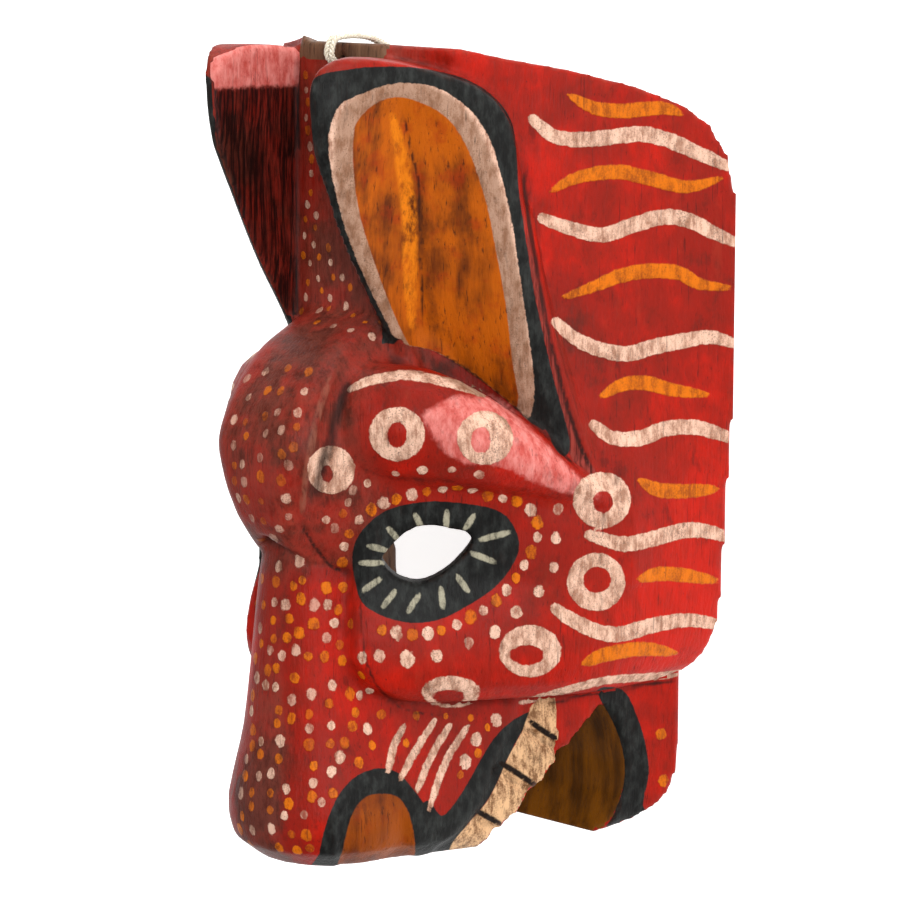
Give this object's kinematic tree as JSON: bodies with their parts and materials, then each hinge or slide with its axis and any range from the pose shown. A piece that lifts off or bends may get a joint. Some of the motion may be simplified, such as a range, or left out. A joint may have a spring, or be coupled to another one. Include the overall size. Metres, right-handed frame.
{
  "type": "carved animal mask",
  "caption": "Hand-carved painted wooden animal face mask with tall ears, a brow boss, a long snout and an open toothed mouth, hollow behind, with a tied hanging cord.",
  "frame": {"origin": "middle of the footprint, on the plane of the back rim that the mask lies on", "axes": "+Z out of the face, +Y from the chin to the crown, +X to the right of a viewer who looks at the face"},
  "size_m": [0.196, 0.3088, 0.1576],
  "materials": {
    "painted_wood": "worn satin paint",
    "cord": "twisted cotton"
  },
  "bodies": {
    "root": {"mask": "painted_wood", "hanging_cord": "cord"}
  },
  "joints": []
}
